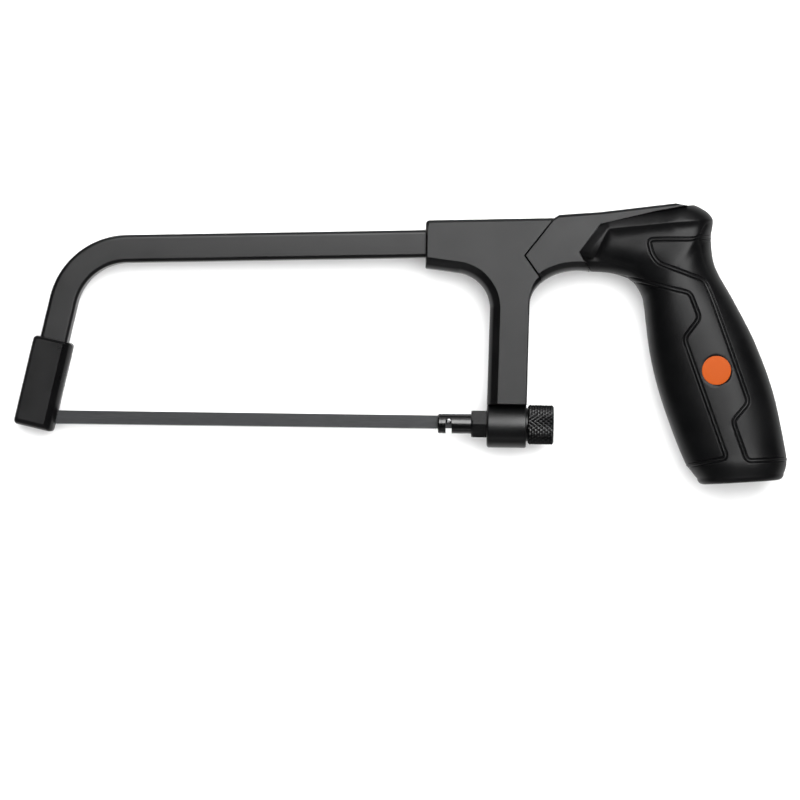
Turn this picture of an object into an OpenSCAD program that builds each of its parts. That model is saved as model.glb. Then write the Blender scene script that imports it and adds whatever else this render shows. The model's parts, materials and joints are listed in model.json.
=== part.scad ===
// Junior hacksaw with a pistol grip and a screw-tensioned pin-end blade.
// Saw plane: x runs back along the blade, y up from the teeth to the frame
// tube, z through the thickness. x = 0 is the rear blade pin and y = 0 is the
// axis of the tension stud. The module rest() then lays the saw on its side.

/* [Blade] */
// Distance between the two blade pins
blade_pitch = 150; // [135:1:165]
// Width of the blade from its back to the tooth tips
blade_w = 5.1; // [4.5:0.1:6]
// Thickness of the blade
blade_t = 0.65; // [0.5:0.05:0.8]
// Length of blade beyond each pin
blade_end = 3.2; // [2.6:0.1:4]
// Teeth along 25.4 mm
tpi = 32; // [18:1:32]
// Diameter of the blade pins
pin_d = 1.9; // [1.6:0.1:2.3]
// Length of the blade pins
pin_len = 6.2; // [4.5:0.1:7]
// Height of the pins above the stud axis
pin_rise = 1.0; // [0.6:0.1:1.4]

/* [Frame tube] */
// Outer size of the square tube
tube_size = 9.9; // [8:0.1:11.5]
// Wall of the tube
tube_wall = 1.2; // [0.8:0.1:2]
// Corner radius of the tube
tube_corner = 1.4; // [0.5:0.1:2]
// Radius of the bend on the tube's middle line
bend_r = 24; // [19:1:29]
// Height of the tube's middle line above the stud axis at the bridge
tube_rise = 64.5; // [58:0.5:72]
// Rise of the tube towards the handle, degrees
tube_slope = 1.64; // [0:0.1:3]
// Lean of the front leg from upright, degrees
leg_lean = 12.6; // [8:0.1:15]
// Distance of the leg's middle line behind the front pin
leg_back = 1.3; // [0.5:0.1:2]
// Depth of the tube's socket in the bridge
socket_depth = 23; // [16:1:26]

/* [Nose cap] */
// Length of the cap
cap_len = 32.7; // [27:0.5:39]
// Width of the cap in the saw plane
cap_w = 14.3; // [12.6:0.1:16]
// Thickness of the cap
cap_t = 13.4; // [12:0.1:15]
// Length of the cap below the front pin
cap_below = 4.6; // [3.6:0.1:6]
// Bevel of the cap's front edges
cap_bevel = 1.7; // [1:0.1:2.2]
// Bevel of the cap's rear edges
cap_rear_bevel = 3; // [2:0.1:3.4]

/* [Body casting] */
// Thickness of the casting
cast_t = 17; // [15.5:0.5:20]
// Height of the bridge at its front face
bridge_h = 17; // [15:0.5:20]
// Distance of the bridge's front face ahead of the rear pin
bridge_front = 9; // [6:0.5:12]
// Depth of the throat bevel in the saw plane
throat_bevel = 3.6; // [2:0.2:4.4]
// Radius of the throat corner
throat_r = 13.2; // [10:0.2:15]
// Distance from the rear pin to the post's front face
post_x = 14.3; // [13.6:0.1:16]
// Width of the post
post_w = 14.2; // [12:0.2:17]
// Diameter of the lug round the stud
lug_d = 15.2; // [14.5:0.1:17]
// Thickness of the tang inside the handle
tang_t = 6; // [4:0.5:8]

/* [Tension stud and nut] */
// Diameter of the slotted stud head
head_d = 7.1; // [6.6:0.1:8]
// Distance of the stud head's front ahead of the rear pin
head_front = 3.9; // [3.5:0.1:4.5]
// Length of the stud head behind the rear pin
head_back = 8.1; // [7:0.1:9]
// Size of the hexagon across its flats
hex_af = 9.6; // [8.6:0.1:10.4]
// Length of hexagon held inside the lug
hex_seat = 4.5; // [4:0.1:6]
// Diameter of the threaded shank
shank_d = 5; // [4:0.5:6]
// Diameter of the thumb nut
nut_d = 14.3; // [12:0.1:16]
// Length of the thumb nut
nut_len = 9.4; // [7:0.1:13]
// Thickness of the thrust washer
washer_t = 0.5; // [0.4:0.1:1.2]

/* [Handle] */
// Thickness of the handle at its top
grip_t = 28; // [25:0.5:32]
// Thickness of the collar
collar_t = 18.6; // [18:0.1:22]
// Depth of the soft pads
pad_depth = 1.6; // [1.2:0.1:2.4]
// Diameter of the disc let into the handle
badge_d = 10.4; // [8:0.2:12]
// Diameter of the handle screws
screw_d = 3.5; // [3:0.1:4]
// Diameter of the handle screws' heads
screw_head_d = 6.6; // [6:0.1:7]

/* [Clearances] */
// Gap all round the blade in its slots, on each side
slot_gap = 0.15; // [0.1:0.01:0.25]
// Gap round the blade pins in their pockets
pin_gap = 0.15; // [0.1:0.01:0.2]
// Radial running gap of the stud in the lug and the nut
run_gap = 0.05; // [0.03:0.01:0.1]
// Gap on each flat of the hexagon in the lug
hex_gap = 0.1; // [0.05:0.01:0.15]
// Gap round pieces that are pressed or moulded together
seat_gap = 0.05; // [0.02:0.01:0.08]
// Travel of the stud when it is slackened
slack = 3; // [2:0.5:3]

/* [Hidden] */
$fn = 64;
far = 200;

// Front leg: its foot is level with the front pin
foot = [-blade_pitch + leg_back, pin_rise];
up_leg = [sin(leg_lean), cos(leg_lean)];
// Frame tube: its line passes through the socket's mouth and meets the leg's line at the corner
mouth = [-bridge_front, tube_rise];
along = [cos(tube_slope), sin(tube_slope)];
turn = 90 - leg_lean - tube_slope;
corner_up = ((mouth.y - foot.y) * along.x - (mouth.x - foot.x) * along.y)
            / (up_leg.y * along.x - up_leg.x * along.y);
corner = foot + corner_up * up_leg;
bend_run = bend_r * tan(turn / 2);
bend_start = corner + bend_run * along;
bend_mid = bend_start + bend_r * [along.y, -along.x];
bend_steps = 14;

// Nose cap
leg_in_cap = 22;
cap_slit_top = 4.6;
grub_d = 5;

// Body casting
lug_front = post_x - 0.4;
lug_back = post_x - 0.6 + post_w;
post_back = post_x + post_w;
bridge_low = tube_rise - bridge_h * 0.51;
throat_mid = [post_x - throat_r, bridge_low - 1.4 - throat_r];
bridge_top = bridge_low + bridge_h;
bevel_deep = 5;
hand_arc = [17.5, 12.7];
hand_mid = [post_back + hand_arc.x, tube_rise - 21.5];
// The handle and its tang go with the post's back and the tube's height
hand = [post_back - 28.5, tube_rise - 64.5];
chevron_tip = hand + [26.5, 60.6];
chevron_top = [hand.x + 37, bridge_top + (37 + hand.x + bridge_front) * tan(tube_slope)];
grub_spots = [socket_depth * 0.3, socket_depth * 0.75];

// Stud
hex_end = lug_front + hex_seat;
nut_front = lug_back + washer_t;
shank_end = nut_front + nut_len - 1.2;

// Handle sections: front point, back point, share of the full thickness, and the places of the
// front and rear pads' edges, from -1 at the front point to 1 at the back point
grip_sections = [for (s = [
    [[42, 55.4], [47, 75.4], 0.78, 0, 0.4],
    [[54, 55.2], [66, 77.8], 0.83, 0, 0.4],
    [[60, 54.3], [78, 79.2], 0.89, 0, 0.4],
    [[65.1, 52.2], [86.5, 79.8], 0.94, 0, 0.4],
    [[68.4, 47.4], [93.6, 75.2], 1, 0, 0.1],
    [[69.5, 43.5], [93.3, 67.5], 1, 0.1, 0.3],
    [[70.5, 35.7], [95, 57.5], 1, 0.15, 0.6],
    [[72.1, 25.4], [102, 45], 1, -0.15, 0.5],
    [[75.2, 13], [109.5, 30.7], 1, -0.25, 0.46],
    [[79.8, -0.2], [116.2, 13.2], 1, -0.2, 0.4],
    [[84.3, -11.2], [120.4, -5], 1, -0.15, 0.12],
    [[86.6, -15], [121.5, -12.5], 1, -0.15, 0.12],
    [[91, -20.2], [119.9, -17.8], 0.92, -0.15, 0.12]]) [s[0] + hand, s[1] + hand, s[2], s[3], s[4]]];
grip_n = 2.4;
pad_steps = 6;
// Where the pads begin and end, counted in sections
pad_from = 4.7;
pad_to = 10.8;
pad_lip = 0.02;
collar_line = concat(
    [hand + [33, 51.6], chevron_tip, chevron_top, chevron_top + [1.7, 1.2]],
    from_hand([[53.5, 76.5], [84.5, 80.3], [84.5, 79.2], [72.9, 76.9], [53.5, 72.1], [46.1, 62],
               [50.5, 55]]));
tang_line = from_hand([[20, 58.5], [20, 71], [60, 73], [84, 75], [89, 68], [89, 60], [104, 26], [104, 18],
                       [92, 18], [82, 44], [74, 58], [62, 62], [40, 60.5]]);
screw_spots = from_hand([[64, 68], [82, 63], [93, 30], [104, -2]]);
screw_floor = 8.5;
screw_tip = 8;
badge_spot = hand + [95.4, 20.3];
badge_t = 0.9;
badge_lean = 4;
plug_t = 2;
plug_deep = 0.8;
butt = grip_sections[len(grip_sections) - 1];
butt_mid = (butt[0] + butt[1]) / 2;
butt_dir = atan2(butt[1].y - butt[0].y, butt[1].x - butt[0].x);

// Resting on its side: the nose cap's front corner and the handle touch the bench
cap_toe = to_saw([-cap_w / 2 + cap_bevel, -cap_below + cap_bevel]);
crown = (grip_sections[4][0] + grip_sections[4][1]) / 2;
tilt = atan((grip_t - cap_t) / 2 / (crown.x - cap_toe.x));
lift = cap_t / 2 * cos(tilt) - cap_toe.x * sin(tilt);
toe = to_saw([-cap_w / 2, -cap_below]);
grip_back = max([for (s = grip_sections) s[1].x]);
span_x = [toe.x * cos(tilt) - (cap_t / 2 - cap_bevel) * sin(tilt), grip_back * cos(tilt)];
span_y = [butt[0].y, max([for (p = collar_line) p.y])];

// A point given in the leg's frame, as a point of the saw plane
function to_saw(p) = foot + p.x * [up_leg.y, -up_leg.x] + p.y * up_leg;

function from_hand(points) = [for (p = points) hand + p];

// Points of an elliptical arc
function arc(mid, radii, from, to, steps) =
    [for (i = [0:steps])
        let (a = from + (to - from) * i / steps) mid + [radii.x * cos(a), radii.y * sin(a)]];

// Throat side of the casting, moved in by a bevel
function throat_line(bevel) = concat(
    [[-bridge_front, bridge_low + bevel]],
    arc(throat_mid, [throat_r + bevel, throat_r + bevel], 84, 1, 12),
    [[lug_front + bevel - 0.2, 0]]);

function cast_line() = concat(
    [[-bridge_front, bridge_top]], throat_line(0), [[lug_back, 0], [lug_back, lug_d / 2 + 1]],
    arc(hand_mid, hand_arc, 180, 138, 7), [chevron_tip, chevron_top]);

// Full thickness of the handle at a place along x, so that it lies flat on the bench
function grip_half(x) = grip_t / 2 + (x - crown.x) * tan(tilt);

function super(v) = sign(v) * pow(abs(v), 2 / grip_n);

// Angle of a section's outline at a place from -1 at the front to 1 at the back
function edge_angle(place) = acos(sign(place) * pow(abs(place), grip_n / 2));

// The handle's section at a place counted in sections
function grip_at(place) =
    let (k = min(floor(place), len(grip_sections) - 2), f = place - k)
    grip_sections[k] * (1 - f) + grip_sections[k + 1] * f;

// Points of one side of a section, from one angle to another, moved in by an inset
function grip_points(s, from, to, inset) =
    let (mid = (s[0] + s[1]) / 2, half = (s[1] - s[0]) / 2, r = norm(half), dir = half / r,
         t = grip_half(mid.x) * s[2] - inset)
    [for (i = [0:pad_steps])
        let (f = i / pad_steps, a = from * (1 - f) + to * f, u = (r - inset) * super(cos(a)))
        [mid.x + u * dir.x, mid.y + u * dir.y, t * super(sin(a))]];

// Half ring of the handle's shell, stepped in under the pads
function shell_ring(place, step) =
    let (s = grip_at(place), rear = edge_angle(s[4]), front = edge_angle(s[3]))
    concat(grip_points(s, 180, front, step), grip_points(s, front, rear, 0), grip_points(s, rear, 0, step));

// Ring of one pad: its outer face, then its inner face
function pad_ring(place, is_rear) =
    let (s = grip_at(place),
         from = is_rear ? edge_angle(s[4]) : 180, to = is_rear ? 0 : edge_angle(s[3]))
    concat(grip_points(s, from, to, 0), grip_points(s, from, to, pad_depth - seat_gap));

pad_places = [pad_from + pad_lip, each [ceil(pad_from):floor(pad_to)], pad_to - pad_lip];

// Side faces through rings of equal length; from the point "flip" on, each quad is split the other way
function walls(rings, flip = far) =
    let (n = len(rings[0]))
    [for (k = [0:len(rings) - 2], i = [0:n - 1])
        let (j = (i + 1) % n, a = k * n, b = a + n)
        each i < flip ? [[a + i, a + j, b + i], [a + j, b + j, b + i]]
                      : [[a + i, a + j, b + j], [a + i, b + j, b + i]]];

// Closed solid through rings whose outlines bulge all the way round
module skin(rings) {
    n = len(rings[0]);
    last = (len(rings) - 1) * n;
    ends = [[for (i = [n - 1:-1:0]) i], [for (i = [0:n - 1]) last + i]];
    polyhedron([for (r = rings, p = r) p], concat(walls(rings), ends));
}

// Closed solid through rings of a pad: its inner face is split like the shell under it
module pad_skin(rings) {
    half = len(rings[0]) / 2;
    last = (len(rings) - 1) * 2 * half;
    turned = [for (r = rings) [for (i = [0:2 * half - 1]) r[i < half ? i : 3 * half - 1 - i]]];
    ends = [for (i = [0:half - 2]) let (a = i, b = i + 1, c = 2 * half - 2 - i, d = 2 * half - 1 - i)
        each [[b, a, c], [c, a, d], [last + a, last + b, last + c], [last + a, last + c, last + d]]];
    polyhedron([for (r = turned, p = r) p], concat(walls(turned, half - 1), ends));
}

module right_half() {
    above = [for (k = [0:floor(pad_from)]) k];
    below = [for (k = [ceil(pad_to):len(grip_sections) - 1]) k];
    skin(concat([for (k = concat(above, [pad_from])) shell_ring(k, 0)],
                [for (k = pad_places) shell_ring(k, pad_depth)],
                [for (k = concat([pad_to], below)) shell_ring(k, 0)]));
}

module slab(points, t) {
    translate([0, 0, -t / 2]) linear_extrude(t) polygon(points);
}

// A cylinder along x between two places
module rod(from, to, d) {
    translate([from, 0, 0]) rotate([0, 90, 0]) cylinder(d = d, h = to - from);
}

module hex_rod(from, to, af) {
    translate([from, 0, 0]) rotate([0, 90, 0]) cylinder(d = af / cos(30), h = to - from, $fn = 6);
}

module rounded_square(size, r) {
    square([size, size - 2 * r], center = true);
    square([size - 2 * r, size], center = true);
    for (x = [-1, 1], y = [-1, 1]) translate([x, y] * (size / 2 - r)) circle(r);
}

module along_x(len) {
    rotate([90, 0, 90]) linear_extrude(len) children();
}

module in_leg() {
    translate([foot.x, foot.y, 0]) rotate([0, 0, -leg_lean]) children();
}

module in_tube() {
    translate([mouth.x, mouth.y, 0]) rotate([0, 0, tube_slope]) children();
}

// Lays the saw on its side with its footprint's middle at the origin
module rest() {
    translate([-(span_x[0] + span_x[1]) / 2, -(span_y[0] + span_y[1]) / 2, lift])
        rotate([0, -tilt, 0]) children();
}

module grub_screw(from, to) {
    difference() {
        translate([0, 0, from]) cylinder(d = grub_d, h = to - from);
        translate([0, 0, from - 1]) cylinder(d = 2.5 / cos(30), h = 3, $fn = 6);
    }
}

// Cutter for the bevel along the throat, on the upper side
module throat_cutter() {
    foot_line = throat_line(0);
    top_line = throat_line(throat_bevel);
    // Corner of the cutter at a point of the line: k goes from 0 on the wall to 1 on the flat face
    at = function(i, k, z)
        let (p = foot_line[i] + k * (top_line[i] - foot_line[i]),
             end = i == 0 ? [-1, 0] : i == len(foot_line) - 1 ? [0, -1] : [0, 0])
        [p.x + end.x, p.y + end.y, z];
    low = cast_t / 2 - 1.3 * bevel_deep;
    high = cast_t / 2 + 0.3 * bevel_deep;
    skin([for (i = [0:len(foot_line) - 1]) [at(i, -0.3, low), at(i, -0.3, cast_t), at(i, 1.3, high)]]);
}

module body_casting() {
    color("#2b2b2d") difference() {
        union() {
            difference() {
                slab(cast_line(), cast_t);
                throat_cutter();
                mirror([0, 0, 1]) throat_cutter();
            }
            rod(lug_front, lug_back, lug_d);
            slab(tang_line, tang_t);
        }
        in_tube() translate([-1, 0, 0]) along_x(socket_depth + 1)
            rounded_square(tube_size + 2 * seat_gap, tube_corner);
        in_tube() for (x = grub_spots) translate([x, 0, -cast_t]) cylinder(d = grub_d, h = cast_t);
        rod(0, lug_back + 1, shank_d + 2 * run_gap);
        hex_rod(0, hex_end + 0.8, hex_af + 2 * hex_gap);
        for (p = screw_spots) translate([p.x, p.y, -far / 2]) cylinder(d = screw_d + 1, h = far);
    }
}

// Middle line of the tube from its end in the bridge to its end in the cap: place and outward angle
tube_line = concat(
    [concat(mouth + (socket_depth - 0.5) * along, 90 + tube_slope)],
    [for (i = [0:bend_steps]) let (a = 90 + tube_slope + turn * i / bend_steps)
        concat(bend_mid + bend_r * [cos(a), sin(a)], a)],
    [concat(foot + (cap_len - cap_below - leg_in_cap) * up_leg, 90 + tube_slope + turn)]);

function rounded_square_points(size, r) =
    [for (q = [0:3], i = [0:4]) let (a = 90 * q + 22.5 * i, m = size / 2 - r)
        m * [sign(cos(90 * q + 45)), sign(sin(90 * q + 45))] + r * [cos(a), sin(a)]];

function tube_ring(station, size, r) =
    [for (p = rounded_square_points(size, r))
        [station[0] + p.x * cos(station[2]), station[1] + p.x * sin(station[2]), p.y]];

// The tube with its hollow in one closed skin: an outer and an inner row of rings, joined at both ends
module frame_tube() {
    outer = [for (s = tube_line) tube_ring(s, tube_size, tube_corner)];
    inner = [for (s = tube_line) tube_ring(s, tube_size - 2 * tube_wall, tube_corner / 2)];
    n = len(outer[0]);
    gap = n * len(tube_line);
    last = gap - n;
    ends = [for (i = [0:n - 1]) let (j = (i + 1) % n) each [
        [j, i, gap + i], [gap + i, gap + j, j],
        [last + i, last + j, gap + last + j], [gap + last + j, gap + last + i, last + i]]];
    inside = [for (f = walls(inner)) [f[2] + gap, f[1] + gap, f[0] + gap]];
    color("#303032")
        polyhedron([for (r = concat(outer, inner), p = r) p], concat(walls(outer), inside, ends));
}

module tube_set_screws() {
    color("#1d1d1f") in_tube() for (x = grub_spots) translate([x, 0, 0])
        grub_screw(-cast_t / 2 + 0.5, -tube_size / 2 - seat_gap);
}

module nose_set_screw() {
    color("#1d1d1f") in_leg() translate([0, cap_len - cap_below - leg_in_cap / 2, 0])
        grub_screw(-cap_t / 2 + 0.3, -tube_size / 2 - seat_gap);
}

// Outline across the cap: bevelled corners, the rear ones deeper
function cap_outline() =
    let (w = cap_w / 2, t = cap_t / 2, f = cap_bevel, r = cap_rear_bevel, d = 1.2)
    [[-w, t - f], [-w + f, t], [w - r, t], [w, t - r - d],
     [w, -t + r + d], [w - r, -t], [-w + f, -t], [-w, -t + f]];

module nose_cap() {
    color("#28282a") difference() {
        in_leg() intersection() {
            translate([0, -cap_below, 0]) rotate([-90, 0, 0])
                linear_extrude(cap_len) polygon(cap_outline());
            rotate([0, 90, 0]) translate([0, 0, -far / 2]) linear_extrude(far) polygon([
                for (e = [-1, 1]) each [for (q = [[1, 0], [1, 1], [-1, 1], [-1, 0]])
                    [q.x * e * (cap_t / 2 + (q.y == 1 ? -cap_bevel : cap_bevel)),
                     (e > 0 ? cap_len - cap_below : -cap_below) - (q.y == 1 ? 0 : 2 * e * cap_bevel)]]]);
        }
        in_leg() translate([0, cap_len - cap_below - leg_in_cap, 0]) rotate([-90, 0, 0])
            linear_extrude(far) rounded_square(tube_size + 2 * seat_gap, tube_corner);
        in_leg() translate([0, cap_len - cap_below - leg_in_cap / 2, -cap_t])
            cylinder(d = grub_d, h = cap_t);
        translate([-blade_pitch - far / 2, -far + cap_slit_top, -blade_t / 2 - slot_gap])
            cube([far, far, blade_t + 2 * slot_gap]);
        translate([-blade_pitch - slack - pin_gap - pin_d / 2, pin_rise + pin_d / 2 + pin_gap - far,
                   -pin_len / 2 - pin_gap])
            cube([slack + pin_gap + pin_d + run_gap, far, pin_len + 2 * pin_gap]);
    }
}

// Blade outline with its row of teeth along the lower edge
module blade() {
    pitch = 25.4 / tpi;
    tooth = pitch * 0.6;
    top = blade_w / 2 + 0.35;
    low = top - blade_w;
    front = -blade_pitch - blade_end;
    count = floor((blade_pitch - 2) / pitch);
    start = -blade_pitch / 2 - count * pitch / 2;
    color("#505257") difference() {
        slab(concat(
            [[blade_end, low + tooth], [blade_end, top - 0.8], [blade_end - 0.8, top],
             [front + 0.8, top], [front, top - 0.8], [front, low + tooth]],
            [for (i = [0:count - 1])
                each [[start + i * pitch, low + tooth], [start + (i + 0.75) * pitch, low]]],
            [[start + count * pitch, low + tooth]]), blade_t);
        for (x = [-blade_pitch, 0]) translate([x, pin_rise, -blade_t]) cylinder(d = pin_d, h = 2 * blade_t);
    }
}

module blade_pins() {
    color("#6a6c70") for (x = [-blade_pitch, 0])
        translate([x, pin_rise, -pin_len / 2]) cylinder(d = pin_d, h = pin_len);
}

module tension_stud() {
    notch = pin_d + 2 * pin_gap;
    color("#1c1c1e") difference() {
        union() {
            rod(-head_front, head_back + 0.1, head_d);
            hex_rod(head_back, hex_end, hex_af);
            rod(hex_end - 0.1, shank_end, shank_d);
        }
        translate([-head_front - 1, -head_d, -blade_t / 2 - slot_gap])
            cube([head_front + blade_end + 2.2, 2 * head_d, blade_t + 2 * slot_gap]);
        translate([-notch / 2, -head_d + pin_rise, -head_d]) cube([notch, head_d, 2 * head_d]);
        translate([0, pin_rise, -head_d]) cylinder(d = notch, h = 2 * head_d);
    }
}

module thumb_nut() {
    chamfer = 0.9;
    r = nut_d / 2;
    bore = shank_d / 2 + run_gap;
    color("#1a1a1c") translate([nut_front, 0, 0]) rotate([0, 90, 0]) rotate_extrude() polygon([
        [bore, 0], [r - chamfer, 0], [r, chamfer], [r, nut_len - chamfer], [r - chamfer, nut_len],
        [0, nut_len], [0, nut_len - 1], [bore, nut_len - 1]]);
}

module thrust_washer() {
    color("#77787b") difference() {
        rod(lug_back, lug_back + washer_t, nut_d - 2.3);
        rod(0, far, shank_d + 2 * run_gap);
    }
}

module handle_collar() {
    under = concat([hand + [33, 50]], arc(hand_mid, hand_arc - [0.4, 0.4], 150, 80, 8), [hand + [55, 50]]);
    color("#2c2c2e") difference() {
        slab(collar_line, collar_t);
        slab(under, far);
        tang_pocket();
        for (p = screw_spots) translate([p.x, p.y, -far / 2]) cylinder(d = screw_d + 1, h = far);
    }
}

module tang_pocket() {
    slab(tang_line, tang_t + 2 * seat_gap);
}

module plug_seat(gap = 0) {
    translate([butt_mid.x, butt_mid.y, 0]) rotate([0, 0, butt_dir]) translate([0, plug_t + plug_deep, 0])
        rotate([90, 0, 0]) linear_extrude(plug_t + (gap > 0 ? 4 : 0)) {
            square([8, 14 + 2 * gap], center = true);
            for (x = [-4, 4]) translate([x, 0]) circle(d = 14 + 2 * gap);
        }
}

module badge_seat(extra = 0) {
    translate([badge_spot.x, badge_spot.y, grip_half(badge_spot.x) - badge_t - 0.1])
        rotate([0, badge_lean, 0]) cylinder(d = badge_d, h = badge_t + extra);
}

module handle_shell_right() {
    color("#242426") difference() {
        right_half();
        slab(collar_line, far);
        tang_pocket();
        plug_seat(seat_gap);
        badge_seat(5);
        for (p = screw_spots) translate([p.x, p.y, -1]) cylinder(d = screw_d, h = screw_tip + 1);
    }
}

module handle_shell_left() {
    color("#242426") difference() {
        mirror([0, 0, 1]) right_half();
        slab(collar_line, far);
        tang_pocket();
        plug_seat(seat_gap);
        for (p = screw_spots) translate([p.x, p.y, 0]) {
            translate([0, 0, -screw_floor - 1]) cylinder(d = screw_d + 0.3, h = screw_floor + 2);
            translate([0, 0, -far]) cylinder(d = screw_head_d + 0.6, h = far - screw_floor);
        }
    }
}

module soft_pad(is_rear) {
    color("#19191b") pad_skin([for (k = pad_places) pad_ring(k, is_rear)]);
}

module rear_pad_right() {
    soft_pad(true);
}

module rear_pad_left() {
    mirror([0, 0, 1]) soft_pad(true);
}

module front_pad_right() {
    soft_pad(false);
}

module front_pad_left() {
    mirror([0, 0, 1]) soft_pad(false);
}

module handle_screws() {
    color("#8a8b8e") for (p = screw_spots) translate([p.x, p.y, 0]) difference() {
        union() {
            translate([0, 0, -screw_floor]) cylinder(d = screw_d, h = screw_floor + screw_tip - 0.3);
            translate([0, 0, -screw_floor - 2.4]) cylinder(d = screw_head_d, h = 2.4);
        }
        for (a = [0, 90]) rotate([0, 0, a]) translate([-2, -0.45, -screw_floor - 3.4]) cube([4, 0.9, 2.2]);
    }
}

module butt_plug() {
    color("#1b1b1d") plug_seat();
}

module badge_disc() {
    color("#d9702f") badge_seat();
}

rest() body_casting();
rest() frame_tube();
rest() tube_set_screws();
rest() nose_cap();
rest() nose_set_screw();
rest() blade();
rest() blade_pins();
rest() tension_stud();
rest() thumb_nut();
rest() thrust_washer();
rest() handle_collar();
rest() handle_shell_right();
rest() handle_shell_left();
rest() rear_pad_right();
rest() rear_pad_left();
rest() front_pad_right();
rest() front_pad_left();
rest() handle_screws();
rest() butt_plug();
rest() badge_disc();
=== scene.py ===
"""Looks of a junior hacksaw: coated casting and tube, slotted stud, knurled nut and moulded pistol grip.

Shapes are worked out in the saw's own frame, in millimetres: x runs back along the blade from the rear
pin, y rises from the teeth to the tube, z goes through the thickness and y = 0 is the stud's axis.
"""

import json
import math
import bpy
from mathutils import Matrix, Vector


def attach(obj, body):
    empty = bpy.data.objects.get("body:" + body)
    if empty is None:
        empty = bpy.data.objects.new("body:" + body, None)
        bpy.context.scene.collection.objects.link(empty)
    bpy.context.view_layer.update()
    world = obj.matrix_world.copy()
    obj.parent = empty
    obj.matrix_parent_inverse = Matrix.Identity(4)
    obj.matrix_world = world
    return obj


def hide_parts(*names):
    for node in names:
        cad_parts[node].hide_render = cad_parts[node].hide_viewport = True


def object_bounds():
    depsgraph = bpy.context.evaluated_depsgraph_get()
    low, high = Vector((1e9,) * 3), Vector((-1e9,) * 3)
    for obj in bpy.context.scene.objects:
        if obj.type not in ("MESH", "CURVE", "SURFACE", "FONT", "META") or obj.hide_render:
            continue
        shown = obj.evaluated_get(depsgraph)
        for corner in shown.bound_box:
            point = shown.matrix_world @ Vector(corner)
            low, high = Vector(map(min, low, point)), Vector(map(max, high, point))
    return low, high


bl_info = {
    "name": "Junior Hacksaw",
    "version": (1, 0, 0),
    "blender": (4, 5, 0),
    "location": "3D Viewport > Sidebar > Hacksaw",
    "description": "Models the visible pieces of a junior hacksaw around its fixed CAD frame",
    "category": "Object",
}

import bmesh
import bpy
import numpy as np
from bpy.props import FloatProperty, FloatVectorProperty, IntProperty, PointerProperty
from mathutils import Matrix, Vector

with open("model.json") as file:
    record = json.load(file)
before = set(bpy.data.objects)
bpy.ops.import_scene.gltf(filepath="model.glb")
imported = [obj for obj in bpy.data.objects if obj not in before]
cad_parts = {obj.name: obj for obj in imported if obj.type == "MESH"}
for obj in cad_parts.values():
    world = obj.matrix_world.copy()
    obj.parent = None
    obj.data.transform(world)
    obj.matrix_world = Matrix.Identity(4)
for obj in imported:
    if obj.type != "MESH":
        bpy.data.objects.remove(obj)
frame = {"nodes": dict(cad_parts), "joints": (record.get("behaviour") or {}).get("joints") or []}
CAD_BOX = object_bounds()

MM = 0.001
# Scale of the slow change of tint over a surface
PATCH_SCALE = 90.0
JOINTS = {joint["name"]: joint for joint in frame["joints"]}

# Grey of the surroundings, from straight down at 0 to straight up at 1
SKY_STOPS = ((0.0, 0.8), (0.33, 0.7), (0.44, 0.0), (0.9, 0.0))

# The saw's frame, from the nut's axis and the front blade pin
BLADE_PITCH = 150.0
PIN_RISE = 1.0
ALONG = Vector(JOINTS["nut_turn"]["axis"]).normalized()
THROUGH = -Vector(JOINTS["blade_swing"]["axis"]).normalized()
RISE = THROUGH.cross(ALONG)
REAR_PIN = Vector(JOINTS["blade_swing"]["pos_m"]) + BLADE_PITCH * MM * ALONG
SAW = Matrix.Translation(REAR_PIN - PIN_RISE * MM * RISE) @ (
    Matrix((ALONG, RISE, THROUGH)).transposed().to_4x4() @ Matrix.Scale(MM, 4)
)

# Front leg of the tube and the line of the tube along the top
FOOT = np.array([-148.7, 1.0])
LEG_LEAN = math.radians(12.6)
MOUTH = np.array([-9.0, 64.5])
TUBE_SLOPE = math.radians(1.64)
CAP_BELOW = 4.6
# Half width of the blade's slit in the cap and in the stud
SLIT_HALF = 0.48

# Places of the casting, its screws, the collar and the handle
THROAT_MID = np.array([1.1, 41.2])
HAND_MID = np.array([46.0, 43.0])
HAND_ARC = np.array([17.5, 12.7])
CHEVRON_TIP = (26.5, 60.6)
CHEVRON_TOP = (37.0, 74.15)
GRIP_CHEVRON = [(50.5, 55.0), (46.1, 62.0), (53.5, 72.1), (72.9, 76.9), (84.5, 79.2)]
SCREW_HOLE = 2.5
TUBE_SCREWS = (6.9, 17.25)
LUG_FRONT, LUG_BACK = 13.9, 27.9
NUT_FRONT = 28.4
BADGE_SPOT = (95.4, 20.3)
BADGE_Z = 14.25
BADGE_LEAN = math.tan(math.radians(4))
BADGE_SEAT = 0.35
SCREW_SPOTS = [(64, 68), (82, 63), (93, 30), (104, -2)]

# Handle sections: front point, back point and share of the full thickness
GRIP_SECTIONS = [
    ((42, 55.4), (47, 75.4), 0.78),
    ((54, 55.2), (66, 77.8), 0.83),
    ((60, 54.3), (78, 79.2), 0.89),
    ((65.1, 52.2), (86.5, 79.8), 0.94),
    ((68.4, 47.4), (93.6, 75.2), 1.0),
    ((69.5, 43.5), (93.3, 67.5), 1.0),
    ((70.5, 35.7), (95.0, 57.5), 1.0),
    ((72.1, 25.4), (102.0, 45.0), 1.0),
    ((75.2, 13.0), (109.5, 30.7), 1.0),
    ((79.8, -0.2), (116.2, 13.2), 1.0),
    ((84.3, -11.2), (120.4, -5.0), 1.0),
    ((86.6, -15.0), (121.5, -12.5), 1.0),
    ((91.0, -20.2), (119.9, -17.8), 0.92),
]
# Where along the sections the butt's round starts, and its radius
BUTT_PLACE, BUTT_ROUND = 11.62, 2.2
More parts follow.
